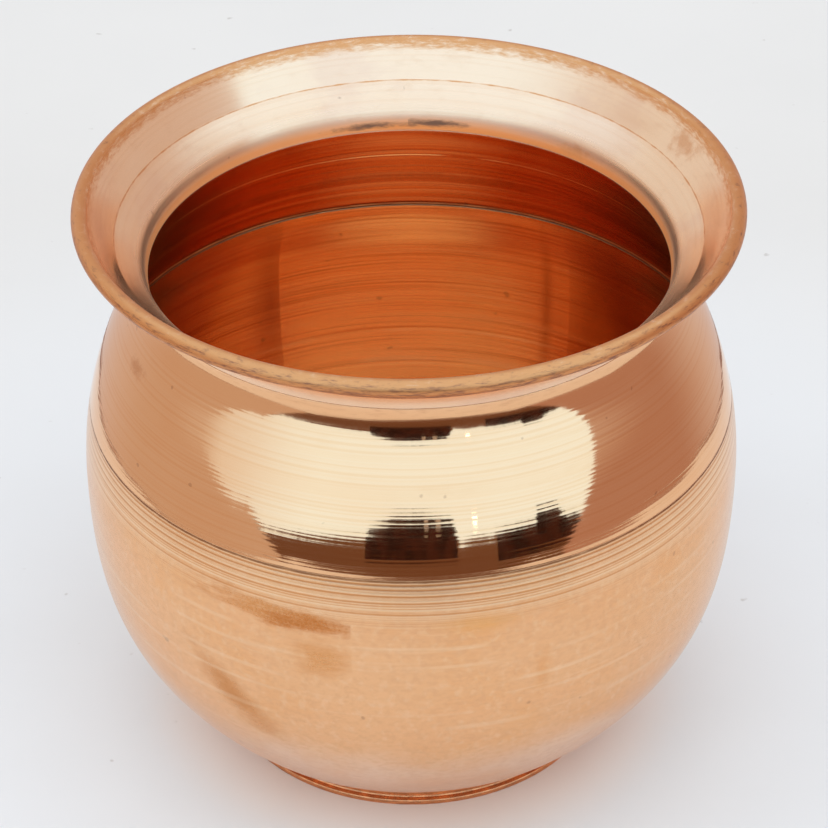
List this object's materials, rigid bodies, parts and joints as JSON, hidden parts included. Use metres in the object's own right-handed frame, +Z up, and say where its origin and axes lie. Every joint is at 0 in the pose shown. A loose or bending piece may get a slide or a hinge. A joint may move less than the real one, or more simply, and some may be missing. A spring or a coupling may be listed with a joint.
{
  "type": "lota",
  "caption": "Round-bellied copper water pot with a flared, wire-rolled mouth, a pinched neck and a low foot ring, for carrying and pouring water.",
  "frame": {"origin": "on the pot's axis, on the floor under the foot ring", "axes": "+Z up along the axis of revolution; +X and +Y are any two level directions, because the pot is round"},
  "size_m": [0.1148, 0.1148, 0.1059],
  "materials": {
    "polished_copper": "copper sheet, lathe polished, with fine turning lines",
    "satin_copper": "copper sheet, satin, with faint stains",
    "raw_copper": "drawn copper wire, unpolished",
    "brazing_metal": "brazing filler, as flowed"
  },
  "bodies": {
    "root": {"mouth_flare": "polished_copper", "rim_wire": "raw_copper", "shoulder_shell": "polished_copper", "belly_bowl": "satin_copper", "foot_ring": "satin_copper", "neck_braze": "brazing_metal", "belly_braze": "brazing_metal", "foot_braze": "brazing_metal"}
  },
  "joints": []
}
